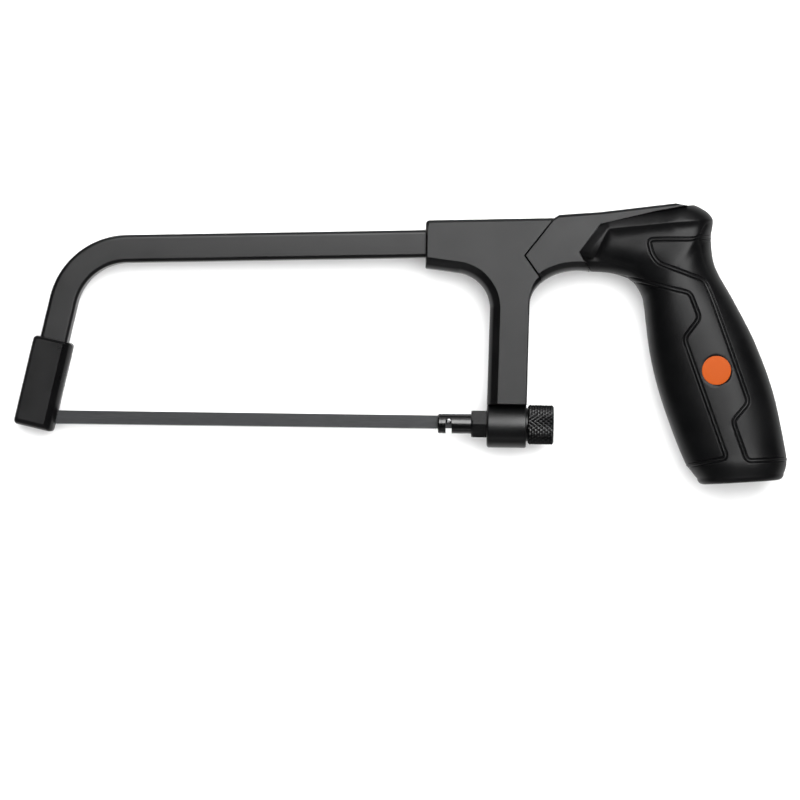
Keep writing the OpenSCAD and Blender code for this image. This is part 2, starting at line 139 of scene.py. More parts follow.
# Middle lines of the raised beads that border the soft pads
REAR_BEAD = [(97, 67.9), (70.4, 66.9), (71.6, 61.4), (73.9, 58.2), (91.0, 52.5), (93.1, 47.8), (107.2, 9.0),
             (101.4, 2.2), (106.7, -11.9), (125, -10.9)]
FRONT_BEAD = [(60, 53.4), (67.3, 51.8), (85.7, 47.7), (89.2, 38.9), (83.7, 31.5), (99.4, -11.0), (80, -15.2)]
# Round of the beads' corners, half width of a bead, then place and half width of its two grooves
BEAD_ROUND = 1.8
BEAD_HALF, GROOVE_PLACE, GROOVE_HALF = 0.4, 0.68, 0.17
# Crease over the thumb's rest, the depth of the hollow below it and how far below it is deepest
THUMB_CREASE = [(51.5, 60.0), (56.4, 70.4), (78.7, 72.9), (89.1, 73.8), (98, 74.4)]
REST_DEPTH, REST_REACH = 1.9, 3.8


def size_property(name, description, millimetres):
    return FloatProperty(name=name, description=description, default=millimetres * MM, unit="LENGTH",
                         precision=5)


def colour_property(name, description, value):
    return FloatVectorProperty(name=name, description=description, default=value, subtype="COLOR", size=3,
                               min=0.0, max=1.0)


class HacksawSizes(bpy.types.PropertyGroup):
    """Sizes of the visible pieces"""

    cast_t: size_property("Casting thickness", "Thickness of the body casting", 17.0)
    throat_bevel: size_property("Throat bevel", "Width of the bevel along the throat", 3.9)
    lug_r: size_property("Lug radius", "Radius of the lug round the tension stud", 7.9)
    collar_t: size_property("Collar thickness", "Thickness of the collar ahead of the grip", 18.6)
    tube_size: size_property("Tube size", "Outer size of the square frame tube", 9.9)
    tube_corner: size_property("Tube corner", "Corner radius of the frame tube", 1.4)
    bend_r: size_property("Bend radius", "Radius of the tube's bend on its middle line", 24.0)
    cap_w: size_property("Cap width", "Width of the nose cap in the saw's plane", 14.3)
    cap_t: size_property("Cap thickness", "Thickness of the nose cap", 13.4)
    cap_len: size_property("Cap length", "Length of the nose cap along the leg", 32.7)
    head_d: size_property("Stud head", "Diameter of the slotted stud head", 7.1)
    hex_af: size_property("Hexagon", "Size of the stud's hexagon across its flats", 9.6)
    nut_d: size_property("Nut diameter", "Diameter over the knurl", 14.3)
    nut_len: size_property("Nut length", "Length of the thumb nut", 9.4)
    knurl_depth: size_property("Knurl depth", "Depth of the diamond knurl", 0.38)
    knurl_count: IntProperty(name="Knurl count", description="Diamonds round the nut", default=30,
                             min=12, max=60)
    grip_t: size_property("Grip thickness", "Full thickness of the grip", 28.0)
    bead_depth: size_property("Bead grooves", "Depth of the two fine grooves beside each bead", 0.3)
    badge_d: size_property("Disc diameter", "Diameter of the plain disc in the grip", 10.4)


class HacksawColours(bpy.types.PropertyGroup):
    """Colours of the finishes"""

    casting: colour_property("Casting coat", "Satin powder coat of the casting", (0.0025, 0.0025, 0.0027))
    tube: colour_property("Tube paint", "Paint of the frame tube", (0.0025, 0.0025, 0.0027))
    cap: colour_property("Cap coat", "Coat of the nose cap", (0.0025, 0.0025, 0.0027))
    blade: colour_property("Blade steel", "Tempered steel of the blade", (0.050, 0.051, 0.053))
    oxide: colour_property("Black oxide", "Blackened steel of the stud and the nut", (0.002, 0.002, 0.0022))
    plated: colour_property("Plated steel", "Bright plated steel of pins and screws", (0.42, 0.42, 0.43))
    collar: colour_property("Collar nylon", "Moulded nylon of the collar", (0.0025, 0.0025, 0.0027))
    shell: colour_property("Shell nylon", "Moulded nylon of the grip's shells", (0.0025, 0.0025, 0.0027))
    pad: colour_property("Pad rubber", "Soft rubber of the grip's pads", (0.002, 0.002, 0.0022))
    badge: colour_property("Disc", "Plain disc let into the grip", (0.31, 0.052, 0.004))
    floor: colour_property("Floor", "Plain pale floor", (0.93, 0.93, 0.93))


def sizes():
    return bpy.context.scene.hacksaw_sizes


def colours():
    return bpy.context.scene.hacksaw_colours


def mm(name):
    """One of the sizes, in millimetres."""
    return getattr(sizes(), name) / MM


# Materials


def finish(slot, colour, roughness, *, metallic=0.0, grain=1800.0, bump=0.05, spread=0.25,
           stretch=(1, 1, 1), specular=0.5):
    """A surface finish: fine grain in its bump, with slow patches in its colour and its gloss."""
    material = bpy.data.materials.get(slot) or bpy.data.materials.new(slot)
    material.use_nodes = True
    tree = material.node_tree
    tree.nodes.clear()
    shader = tree.nodes.new("ShaderNodeBsdfPrincipled")
    output = tree.nodes.new("ShaderNodeOutputMaterial")
    tree.links.new(shader.outputs[0], output.inputs["Surface"])
    shader.inputs["Metallic"].default_value = metallic
    shader.inputs["Specular IOR Level"].default_value = specular

    place = tree.nodes.new("ShaderNodeTexCoord")
    mapping = tree.nodes.new("ShaderNodeMapping")
    mapping.inputs["Scale"].default_value = stretch
    tree.links.new(place.outputs["Object"], mapping.inputs["Vector"])

    def noise(scale, detail):
        node = tree.nodes.new("ShaderNodeTexNoise")
        node.inputs["Scale"].default_value = scale
        node.inputs["Detail"].default_value = detail
        tree.links.new(mapping.outputs[0], node.inputs["Vector"])
        return node.outputs["Fac"]

    patches, fine = noise(PATCH_SCALE, 4.0), noise(grain, 3.0)
    tint = tree.nodes.new("ShaderNodeValToRGB")
    tint.color_ramp.elements[0].position, tint.color_ramp.elements[1].position = 0.3, 0.7
    tint.color_ramp.elements[0].color = (*[c * (1 - spread) for c in colour], 1)
    tint.color_ramp.elements[1].color = (*[min(1, c * (1 + spread)) for c in colour], 1)
    mix = tree.nodes.new("ShaderNodeMix")
    mix.inputs["Factor"].default_value = 0.5
    tree.links.new(patches, mix.inputs[2])
    tree.links.new(fine, mix.inputs[3])
    tree.links.new(mix.outputs[0], tint.inputs["Fac"])
    tree.links.new(tint.outputs["Color"], shader.inputs["Base Color"])

    gloss = tree.nodes.new("ShaderNodeMapRange")
    gloss.inputs["From Min"].default_value, gloss.inputs["From Max"].default_value = 0.3, 0.7
    gloss.inputs["To Min"].default_value = roughness - 0.05
    gloss.inputs["To Max"].default_value = roughness + 0.05
    tree.links.new(patches, gloss.inputs["Value"])
    tree.links.new(gloss.outputs[0], shader.inputs["Roughness"])

    relief = tree.nodes.new("ShaderNodeBump")
    relief.inputs["Strength"].default_value = 1.0
    relief.inputs["Distance"].default_value = bump * MM
    tree.links.new(fine, relief.inputs["Height"])
    tree.links.new(relief.outputs[0], shader.inputs["Normal"])
    return material


def finishes():
    """Every material slot of the record, by name."""
    c = colours()
    brushed = (0.03, 1, 1)
    return {
        "casting_coat": finish("casting_coat", c.casting, 0.36, bump=0.012, grain=2600),
        "tube_paint": finish("tube_paint", c.tube, 0.33, bump=0.006, grain=1800),
        "cap_coat": finish("cap_coat", c.cap, 0.3, bump=0.004, grain=1500, specular=0.3),
        "blade_steel": finish("blade_steel", c.blade, 0.42, metallic=0.9, bump=0.004, grain=5000,
                              stretch=brushed),
        "pin_steel": finish("pin_steel", c.plated, 0.25, metallic=1.0, bump=0.002),
        "black_oxide": finish("black_oxide", c.oxide, 0.24, bump=0.003, specular=0.9),
        "washer_steel": finish("washer_steel", c.oxide, 0.35, bump=0.003),
        "screw_steel": finish("screw_steel", c.plated, 0.3, metallic=1.0, bump=0.003),
        "grub_steel": finish("grub_steel", c.oxide, 0.3, bump=0.003),
        "collar_nylon": finish("collar_nylon", c.collar, 0.38, bump=0.014, grain=2600),
        "shell_nylon": finish("shell_nylon", c.shell, 0.38, bump=0.010, grain=3200, specular=0.26),
        "pad_rubber": finish("pad_rubber", c.pad, 0.38, bump=0.014, grain=3600, specular=0.24),
        "plug_plastic": finish("plug_plastic", c.shell, 0.4, bump=0.01),
        "badge_orange": finish("badge_orange", c.badge, 0.45, bump=0.003, spread=0.04, specular=0.1),
    }


# Meshes


def loft(rings):
    """Vertices and faces through rings of equal length, closed at both ends."""
    n = len(rings[0])
    verts = [tuple(p) for ring in rings for p in ring]
    faces = []
    for k in range(len(rings) - 1):
        for i in range(n):
            j = (i + 1) % n
            faces.append((k * n + i, k * n + j, (k + 1) * n + j, (k + 1) * n + i))
    faces += [tuple(range(n - 1, -1, -1)), tuple(range((len(rings) - 1) * n, len(rings) * n))]
    return verts, faces


def join(*parts):
    """Several sets of vertices and faces as one."""
    verts, faces = [], []
    for part_verts, part_faces in parts:
        faces += [tuple(i + len(verts) for i in face) for face in part_faces]
        verts += part_verts
    return verts, faces


def whole_turn(steps):
    """Angles of a full circle in even steps."""
    return [2 * math.pi * i / steps for i in range(steps)]


def turned(profile, steps=96, centre=(0.0, 0.0)):
    """A round form about the saw's x axis, from a profile of (x, radius)."""
    angles = whole_turn(steps)
    return loft([[(x, centre[0] + r * math.cos(a), centre[1] + r * math.sin(a)) for a in angles]
                 for x, r in profile])


def block(low, high):
    """A box between two corners, for cutting."""
    corners = ((low[0], low[1]), (high[0], low[1]), (high[0], high[1]), (low[0], high[1]))
    return loft([[(x, y, z) for x, y in corners] for z in (low[2], high[2])])


def pillar(spot, radius, low, high, steps=40):
    """A cylinder through the thickness."""
    angles = whole_turn(steps)
    return loft([[(spot[0] + radius * math.cos(a), spot[1] + radius * math.sin(a), z) for a in angles]
                 for z in (low, high)])


def arc(mid, radii, start, end, steps):
    """Points of an elliptical arc, angles in degrees."""
    return [(mid[0] + radii[0] * math.cos(a), mid[1] + radii[1] * math.sin(a))
            for a in np.radians(np.linspace(start, end, steps + 1))]


def inset(points, widths):
    """An outline moved inwards, each edge by its own width. Edge i runs from point i to the next."""
    pts = np.array(points, float)
    n = len(pts)
    area = sum(pts[i][0] * pts[(i + 1) % n][1] - pts[(i + 1) % n][0] * pts[i][1] for i in range(n))
    turn = 1 if area > 0 else -1
    out = []
    for i in range(n):
        edges = [pts[i] - pts[i - 1], pts[(i + 1) % n] - pts[i]]
        normals = [turn * np.array([-e[1], e[0]]) / np.linalg.norm(e) for e in edges]
        amounts = [widths[i - 1], widths[i]]
        if abs(normals[0] @ normals[1]) > 0.995:
            out.append(pts[i] + (normals[0] + normals[1]) / 2 * sum(amounts) / 2)
        else:
            out.append(pts[i] + np.linalg.solve(np.array(normals), amounts))
    return out


def edge_profile(width, depth):
    """A bevel that rounds off into the wall: (inset, drop) from the face down to the wall."""
    shape = [(1, 0), (0.94, 0.012), (0.42, 0.5), (0.3, 0.66), (0.17, 0.93), (0.06, 1.22), (0, 1.5)]
    return [(width * a, depth * b) for a, b in shape]


def bevelled_slab(points, bevels, half):
    """A flat body from its outline, with a bevel (width, depth) for each edge on both faces."""
    profiles = [edge_profile(*bevel) for bevel in bevels]
    rings = []
    for k in range(len(profiles[0])):
        spots = inset(points, [p[k][0] for p in profiles])
        drops = [(profiles[i - 1][k][1] + profiles[i][k][1]) / 2 for i in range(len(points))]
        rings.append([(s[0], s[1], half - d) for s, d in zip(spots, drops)])
    return loft(rings + [[(x, y, -z) for x, y, z in ring] for ring in reversed(rings)])


def raw_mesh(name, shape):
    """An object in the scene from vertices in the saw's frame, with its faces turned outwards."""
    mesh = bpy.data.meshes.new(name)
    mesh.from_pydata([tuple(v) for v in shape[0]], [], shape[1])
    bm = bmesh.new()
    bm.from_mesh(mesh)
    bmesh.ops.remove_doubles(bm, verts=bm.verts, dist=1e-5)
    bmesh.ops.recalc_face_normals(bm, faces=bm.faces)
    bm.to_mesh(mesh)
    bm.free()
    obj = bpy.data.objects.new(name, mesh)
    bpy.context.scene.collection.objects.link(obj)
    return obj


def settle(obj):
    """Applies the object's modifiers to its mesh."""
    bpy.context.view_layer.update()
    made = bpy.data.meshes.new_from_object(obj.evaluated_get(bpy.context.evaluated_depsgraph_get()))
    obj.modifiers.clear()
    old, obj.data = obj.data, made
    made.name = obj.name
    bpy.data.meshes.remove(old)


def cut(obj, *shapes):
    """Takes each shape out of the object."""
    tools = [raw_mesh("cutter", shape) for shape in shapes]
    for tool in tools:
        modifier = obj.modifiers.new("cut", "BOOLEAN")
        modifier.object, modifier.operation, modifier.solver = tool, "DIFFERENCE", "EXACT"
    settle(obj)
    for tool in tools:
        bpy.data.meshes.remove(tool.data)


def merge(obj, shape):
    """Adds a shape to the object's mesh."""
    added = raw_mesh("added", shape)
    bm = bmesh.new()
    bm.from_mesh(obj.data)
    bm.from_mesh(added.data)
    bm.to_mesh(obj.data)
    bm.free()
    bpy.data.meshes.remove(added.data)


def piece(obj, slot, body, *nodes, crease=38.0):
    """Finishes a piece: shading, material, place in the row's frame and the CAD nodes that it stands for."""
    bm = bmesh.new()
    bm.from_mesh(obj.data)
    for face in bm.faces:
        face.smooth = True
    for edge in bm.edges:
        edge.smooth = len(edge.link_faces) != 2 or edge.calc_face_angle() < math.radians(crease)
    bm.to_mesh(obj.data)
    bm.free()
    weigh = obj.modifiers.new("flats", "WEIGHTED_NORMAL")
    weigh.keep_sharp = True
    settle(obj)
    obj.data.transform(SAW)
    obj.data.materials.clear()
    obj.data.materials.append(bpy.data.materials[slot])
    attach(obj, body)
    if nodes:
        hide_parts(*nodes)
    return obj


def dress(node, slot):
    """Gives a CAD node that stays its material."""
    obj = frame["nodes"][node]
    obj.data.materials.clear()
    obj.data.materials.append(bpy.data.materials[slot])


def leg(points):
    """Points given beside the front leg, from its foot, as points of the saw's plane."""
    across = np.array([math.cos(LEG_LEAN), -math.sin(LEG_LEAN)])
    up = np.array([math.sin(LEG_LEAN), math.cos(LEG_LEAN)])
    return [tuple(FOOT + x * across + y * up) for x, y in points]


# The grip's surface


def smooth_at(values, place):
    """A value between sections, on a smooth curve through them."""
    k = min(int(place), len(values) - 2)
    f = place - k
    p = [values[max(0, min(len(values) - 1, k + o))] for o in (-1, 0, 1, 2)]
    return p[1] + 0.5 * f * (p[2] - p[0] + f * (2 * p[0] - 5 * p[1] + 4 * p[2] - p[3]
                                               + f * (3 * (p[1] - p[2]) + p[3] - p[0])))


def nearest(points, line):
    """Distance in the saw's plane from each point to a line of straight stretches."""
    best = np.full(len(points), 1e9)
    for a, b in zip(np.array(line[:-1], float), np.array(line[1:], float)):
        f = np.clip(((points - a) @ (b - a)) / ((b - a) @ (b - a)), 0, 1)
        best = np.minimum(best, np.linalg.norm(points - (a + f[:, None] * (b - a)), axis=1))
    return best


def rounded(line, radius):
    """A line whose corners are rounded off."""
    pts = [np.array(p, float) for p in line]
    out = [pts[0]]
    for before, corner, after in zip(pts, pts[1:], pts[2:]):
        r = min(radius, 0.45 * np.linalg.norm(corner - before), 0.45 * np.linalg.norm(after - corner))
        a = corner + (before - corner) / np.linalg.norm(before - corner) * r
        b = corner + (after - corner) / np.linalg.norm(after - corner) * r
        out += [(1 - t) ** 2 * a + 2 * t * (1 - t) * corner + t * t * b for t in (0, 0.25, 0.5, 0.75, 1)]
    return out + [pts[-1]]


def inside(points, outline):
    """Whether each point lies inside an outline of the saw's plane."""
    hit = np.zeros(len(points), bool)
    for a, b in zip(outline, outline[1:] + outline[:1]):
        crosses = (a[1] > points[:, 1]) != (b[1] > points[:, 1])
        with np.errstate(divide="ignore", invalid="ignore"):
            x = a[0] + (points[:, 1] - a[1]) / (b[1] - a[1]) * (b[0] - a[0])
        hit ^= crosses & (points[:, 0] < x)
    return hit


def beads_away(xy):
    """Distance to the nearer of the two beads."""
    rear, front = (nearest(xy, rounded(line, BEAD_ROUND)) for line in (REAR_BEAD, FRONT_BEAD))
    return np.minimum(rear, front)


def grip_relief(xy, facing):
    """Height added to the grip's plain surface: beads with grooves, the thumb's rest and the edge bevel."""
    lines = beads_away(xy)
    groove = np.exp(-(((lines - GROOVE_PLACE) / GROOVE_HALF) ** 2))
    bead = mm("bead_depth") * (0.6 * np.exp(-((lines / BEAD_HALF) ** 2)) - groove)
    stretches = [np.maximum(nearest(xy, pair), 1e-3) for pair in zip(THUMB_CREASE, THUMB_CREASE[1:])]
    crease = np.sum([d ** -3 for d in stretches], axis=0) ** (-1 / 3)
    line = np.array(THUMB_CREASE, float)
    above = xy[:, 1] > np.interp(xy[:, 0], line[:, 0], line[:, 1])
    hollow = -REST_DEPTH * (crease / REST_REACH) * np.exp(1 - crease / REST_REACH)
    rest = np.where(above, 0.1 * np.minimum(crease, 4), hollow)
    fade = np.clip((xy[:, 0] - 46) / 6, 0, 1)
    front = nearest(xy, GRIP_CHEVRON[:3])
    return bead + (rest * fade - 0.9 * np.clip(1 - front / 3, 0, 1)) * np.clip(1.6 * facing, 0, 1)


def grip_ring(place, columns, shrink=0.0, push=0.0):
    """Half ring of the grip's plain surface."""
    front, back, share = (smooth_at([np.array(s[i], float) for s in GRIP_SECTIONS], place) for i in range(3))
    mid, half = (front + back) / 2, (back - front) / 2
    r = np.linalg.norm(half)
    way = half / r
    out = np.array([way[1], -way[0]])
    crown, lean, power = 81.0, math.tan(math.asin(-THROUGH.x)), 2.4
    t = (mm("grip_t") / 2 + (mid[0] - crown) * lean) * float(share) - shrink
    r -= shrink
    a = np.linspace(0, math.pi, columns)
    u = np.sign(np.cos(a)) * np.abs(np.cos(a)) ** (2 / power)
    w = np.abs(np.sin(a)) ** (2 / power)
    w[0] = w[-1] = 0
    return np.column_stack([mid + np.outer(u * r, way) + push * out, w * t])


def grip_half(columns=130, spacing=0.42):
    """One half of the grip, from the collar to its rounded butt."""
    places = []
    for k in range(len(GRIP_SECTIONS) - 1):
        span = max(np.linalg.norm(np.subtract(GRIP_SECTIONS[k + 1][i], GRIP_SECTIONS[k][i])) for i in (0, 1))
        places += [p for p in np.linspace(k, k + 1, int(span / spacing), endpoint=False)
                   if p < BUTT_PLACE]
    rings = [grip_ring(p, columns) for p in places]
    rings += [grip_ring(BUTT_PLACE, columns, BUTT_ROUND * (1 - math.cos(b)), BUTT_ROUND * math.sin(b))
              for b in np.radians(np.linspace(0, 85, 9))]
    return [list(ring) for ring in rings]


def model(obj):
    """Refines the grip's mesh near the beads, gives it its relief and flattens a seat for the disc."""
    bm = bmesh.new()
    bm.from_mesh(obj.data)
    spots = np.array([v.co for v in bm.verts])
    close = beads_away(spots[:, :2]) < 1.6
    edges = [e for e in bm.edges if close[e.verts[0].index] and close[e.verts[1].index]]
    bmesh.ops.subdivide_edges(bm, edges=edges, cuts=2, use_grid_fill=True)
    bm.normal_update()
    spots = np.array([v.co for v in bm.verts])
    ways = np.array([v.normal for v in bm.verts])
    sign = 1 if spots[:, 2].mean() > 0 else -1
    outer = spots[:, 2] * sign > 0.02
    spots += (ways * grip_relief(spots[:, :2], ways[:, 2] * sign)[:, None]) * outer[:, None]
    seat = np.linalg.norm(spots[:, :2] - BADGE_SPOT, axis=1)
    on_seat = (seat < mm("badge_d") / 2 + 0.2) & (spots[:, 2] > 5)
    spots[on_seat, 2] = BADGE_Z - BADGE_SEAT - (spots[on_seat, 0] - BADGE_SPOT[0]) * BADGE_LEAN
    for vertex, spot in zip(bm.verts, spots):
        vertex.co = spot
    bm.to_mesh(obj.data)
    bm.free()


def split_off(obj, name, outline):
    """Moves the faces whose middles lie inside an outline to a new object."""
    middles = np.array([face.center[:2] for face in obj.data.polygons])
    chosen = inside(middles, outline)
    other = obj.copy()
    other.data = obj.data.copy()
    other.name = other.data.name = name
    bpy.context.scene.collection.objects.link(other)
    for target, drop in ((obj, chosen), (other, ~chosen)):
        bm = bmesh.new()
        bm.from_mesh(target.data)
        bm.faces.ensure_lookup_table()
        bmesh.ops.delete(bm, geom=[bm.faces[i] for i in np.flatnonzero(drop)], context="FACES")
        bm.to_mesh(target.data)
        bm.free()
    return other


# Operators


class HACKSAW_OT_stage(bpy.types.Operator):
    """Pale floor, soft light from above and the camera over the saw"""

    bl_idname = "hacksaw.stage"
    bl_label = "Stage"

    def execute(self, context):
        scene = context.scene
        scene.view_settings.view_transform = "Standard"
        gap, reach = 0.0002, 3.0
        floor_z = min(CAD_BOX[0].z, 0.0) - gap
        mesh = bpy.data.meshes.new("floor")
        mesh.from_pydata([(-reach, -reach, floor_z), (reach, -reach, floor_z), (reach, reach, floor_z),
                          (-reach, reach, floor_z)], [], [(0, 1, 2, 3)])
        floor = bpy.data.objects.new("floor", mesh)
        scene.collection.objects.link(floor)
        mesh.materials.append(finish("pale_floor", colours().floor, 0.9, bump=0.0, spread=0.0, specular=0.0))

        def softbox(name, spot, size, radiance, glossy=True):
            light = bpy.data.lights.new(name, "AREA")
            light.shape, light.size, light.size_y = "RECTANGLE", *size
            light.energy = radiance * math.pi * size[0] * size[1]
            obj = bpy.data.objects.new(name, light)
            obj.location = spot
            obj.rotation_euler = (-Vector(spot)).to_track_quat("-Z", "Y").to_euler()
            obj.visible_glossy = glossy
            scene.collection.objects.link(obj)

        softbox("key_light", (0.4, 0.85, 2.0), (1.6, 1.8), 6.6)
        softbox("fill_light", (0, 0.3, 2.2), (4.4, 4.4), 2.3, glossy=False)
        softbox("back_strip", (0, 2.6, 1.2), (3.2, 0.9), 0.9)
        softbox("front_strip", (0, -2.6, 0.9), (3.2, 0.45), 0.8)
        floor.visible_glossy = False
        world = bpy.data.worlds.new("studio")
        world.use_nodes = True
        tree = world.node_tree
        place = tree.nodes.new("ShaderNodeTexCoord")
        split = tree.nodes.new("ShaderNodeSeparateXYZ")
        rise = tree.nodes.new("ShaderNodeMapRange")
        rise.inputs["From Min"].default_value = -1.0
        ramp = tree.nodes.new("ShaderNodeValToRGB").color_ramp
        for position, grey in SKY_STOPS:
            stop = ramp.elements.new(position)
            stop.color = (grey, grey, grey, 1)
        ramp.elements.remove(ramp.elements[0])
        ramp.elements.remove(ramp.elements[-1])
        tree.links.new(place.outputs["Generated"], split.inputs[0])
        tree.links.new(split.outputs["Z"], rise.inputs["Value"])
        tree.links.new(rise.outputs[0], tree.nodes["Color Ramp"].inputs[0])
        seen = tree.nodes.new("ShaderNodeLightPath")
        backdrop = tree.nodes.new("ShaderNodeMix")
        backdrop.data_type = "RGBA"
        backdrop.inputs[7].default_value = (1, 1, 1, 1)
        tree.links.new(seen.outputs["Is Camera Ray"], backdrop.inputs[0])
        tree.links.new(tree.nodes["Color Ramp"].outputs[0], backdrop.inputs[6])
        tree.links.new(backdrop.outputs[2], tree.nodes["Background"].inputs["Color"])
        scene.world = world

        camera_data = bpy.data.cameras.new("camera")
        camera = bpy.data.objects.new("camera", camera_data)
        scene.collection.objects.link(camera)
        height, view_width, saw_plane = 1.6, 0.288, 0.0115
        shift, turn = -0.0218, math.radians(0.77)
        camera.location = (0.0, shift, saw_plane + height)
        camera.rotation_euler = (0, 0, turn)
        camera_data.lens = camera_data.sensor_width * height / view_width
        camera_data.clip_end = 20
        scene.camera = camera
        return {"FINISHED"}


class HACKSAW_OT_casting(bpy.types.Operator):
    """Body casting: bridge, post and the lug round the tension stud"""

    bl_idname = "hacksaw.casting"
    bl_label = "Body casting"

    def execute(self, context):
        crisp, top = (0.45, 0.45), (1.1, 1.0)
        throat = (mm("throat_bevel"), 3.6)
        bottom = 7.0
        throat_arc = arc(THROAT_MID, (13.2, 13.2), 84, 1, 22)
        hand_arc = arc(HAND_MID, HAND_ARC, 180, 138, 9)
        corner = arc((-7.6, 71.45), (1.4, 1.4), 92, 180, 5)
        points = [*corner, (-9, 55.8), *throat_arc, (13.7, bottom), (28.0, bottom), *hand_arc, CHEVRON_TIP,
                  CHEVRON_TOP]
        bevels = [top] * (len(corner) - 1) + [(0.8, 0.8)] + [throat] * (len(throat_arc) + 1) + [crisp, crisp]
        bevels += [(0.45 + 1.9 * (i / 9) ** 1.5, 0.6 + 1.8 * i / 9) for i in range(len(hand_arc) - 1)]
        bevels += [(0.2, 0.2), (0.2, 0.2), top]
        half = mm("cast_t") / 2
        slab = bevelled_slab(points, bevels, half)
        r = mm("lug_r")
        lug = turned([(LUG_FRONT - 0.2, r - 2), (LUG_FRONT - 0.2, r - 0.8), (LUG_FRONT + 0.05, r - 0.25),
                      (LUG_FRONT + 0.6, r), (LUG_BACK - 0.6, r), (LUG_BACK - 0.1, r - 0.25),
                      (LUG_BACK, r - 0.8), (LUG_BACK, r - 2)], centre=(-0.5, 0))
        body = raw_mesh("saw_body", slab)
        along = np.array([math.cos(TUBE_SLOPE), math.sin(TUBE_SLOPE)])
        cut(body, *[pillar(MOUTH + along * x, SCREW_HOLE, -half - 5, -mm("tube_size") / 2, 32)
                    for x in TUBE_SCREWS])
        merge(body, lug)
        piece(body, "casting_coat", "frame", "body_casting", crease=50)
        dress("tube_set_screws", "grub_steel")
        return {"FINISHED"}


class HACKSAW_OT_tube(bpy.types.Operator):
    """Square frame tube with its bend"""

    bl_idname = "hacksaw.tube"
    bl_label = "Frame tube"

    def execute(self, context):
        along = np.array([math.cos(TUBE_SLOPE), math.sin(TUBE_SLOPE)])
        up = np.array([math.sin(LEG_LEAN), math.cos(LEG_LEAN)])
        turn = math.pi / 2 - LEG_LEAN - TUBE_SLOPE
        gap = MOUTH - FOOT
        corner = FOOT + up * (gap[1] * along[0] - gap[0] * along[1]) / (up[1] * along[0] - up[0] * along[1])
        radius = mm("bend_r")
        start = corner + along * radius * math.tan(turn / 2)
        centre = start + radius * np.array([along[1], -along[0]])
        angles = np.linspace(math.pi / 2 + TUBE_SLOPE, math.pi - LEG_LEAN, 49)
        stations = [(MOUTH + 20 * along, angles[0])]
        stations += [(centre + radius * np.array([math.cos(a), math.sin(a)]), a) for a in angles]
        stations += [(FOOT + 8 * up, angles[-1])]
        flat, r = mm("tube_size") / 2 - mm("tube_corner"), mm("tube_corner")
        profile = [(flat * sx + r * math.cos(a), flat * sy + r * math.sin(a))
                   for q, (sx, sy) in enumerate([(1, 1), (-1, 1), (-1, -1), (1, -1)])
                   for a in np.radians(np.linspace(90 * q, 90 * q + 90, 7))]
        rings = [[(p[0] + x * math.cos(a), p[1] + x * math.sin(a), z) for x, z in profile]
                 for p, a in stations]
        piece(raw_mesh("frame_bar", loft(rings)), "tube_paint", "frame", "frame_tube")
        return {"FINISHED"}


class HACKSAW_OT_nose_cap(bpy.types.Operator):
    """Nose cap on the front leg, slit for the blade"""

    bl_idname = "hacksaw.nose_cap"
    bl_label = "Nose cap"

    def execute(self, context):
        w, low, high, r = mm("cap_w") / 2, -CAP_BELOW, mm("cap_len") - CAP_BELOW, 1.5
        right, top, left, bottom = 3.5, 1.1, 1.1, 2.1
        rings = []
        for a, b in edge_profile(1, 1):
            x0, x1 = -w + left * a, w - right * a
            y0, y1 = low + bottom * a, high - top * a
            q = r * (1 - 0.55 * a)
            corners = [(x1 - q, y1 - q), (x0 + q, y1 - q), (x0 + q, y0 + q), (x1 - q, y0 + q)]
            depths = [right, top, left, bottom, right]
            outline = [spot for k, mid in enumerate(corners)
                       for spot in arc(mid, (q, q), 90 * k, 90 * k + 90, 5)]
            drops = [b * d for k in range(4) for d in np.linspace(depths[k], depths[k + 1], 6)]
            rings.append([(x, y, mm("cap_t") / 2 - d) for (x, y), d in zip(leg(outline), drops)])
        mirrored = [[(x, y, -z) for x, y, z in ring] for ring in reversed(rings)]
        cap = raw_mesh("blade_nose", loft(rings + mirrored))
        screw = leg([(0, high - 11)])[0]
        slit = block((-175, -40, -SLIT_HALF), (-120, 4.6, SLIT_HALF))
        pocket = block((-154.1, -40, -3.25), (-148.95, 2.1, 3.25))
        cut(cap, slit, pocket, pillar(screw, SCREW_HOLE, -15, -mm("tube_size") / 2, 32))
        piece(cap, "cap_coat", "frame", "nose_cap", crease=50)
        dress("nose_set_screw", "grub_steel")
        return {"FINISHED"}


class HACKSAW_OT_blade(bpy.types.Operator):
    """Fine-tooth blade and its two pins"""

    bl_idname = "hacksaw.blade"
    bl_label = "Blade"

    def execute(self, context):
        dress("blade", "blade_steel")
        pins = []
        for x in (-BLADE_PITCH, 0.0):
            rows = [(-3.1, 0.62), (-2.95, 0.86), (-2.75, 0.95), (2.75, 0.95), (2.95, 0.86), (3.1, 0.62)]
            pins.append(loft([[(x + r * math.cos(a), PIN_RISE + r * math.sin(a), z)
                               for a in whole_turn(32)] for z, r in rows]))
        piece(raw_mesh("pin_ends", join(*pins)), "pin_steel", "blade", "blade_pins")
        return {"FINISHED"}


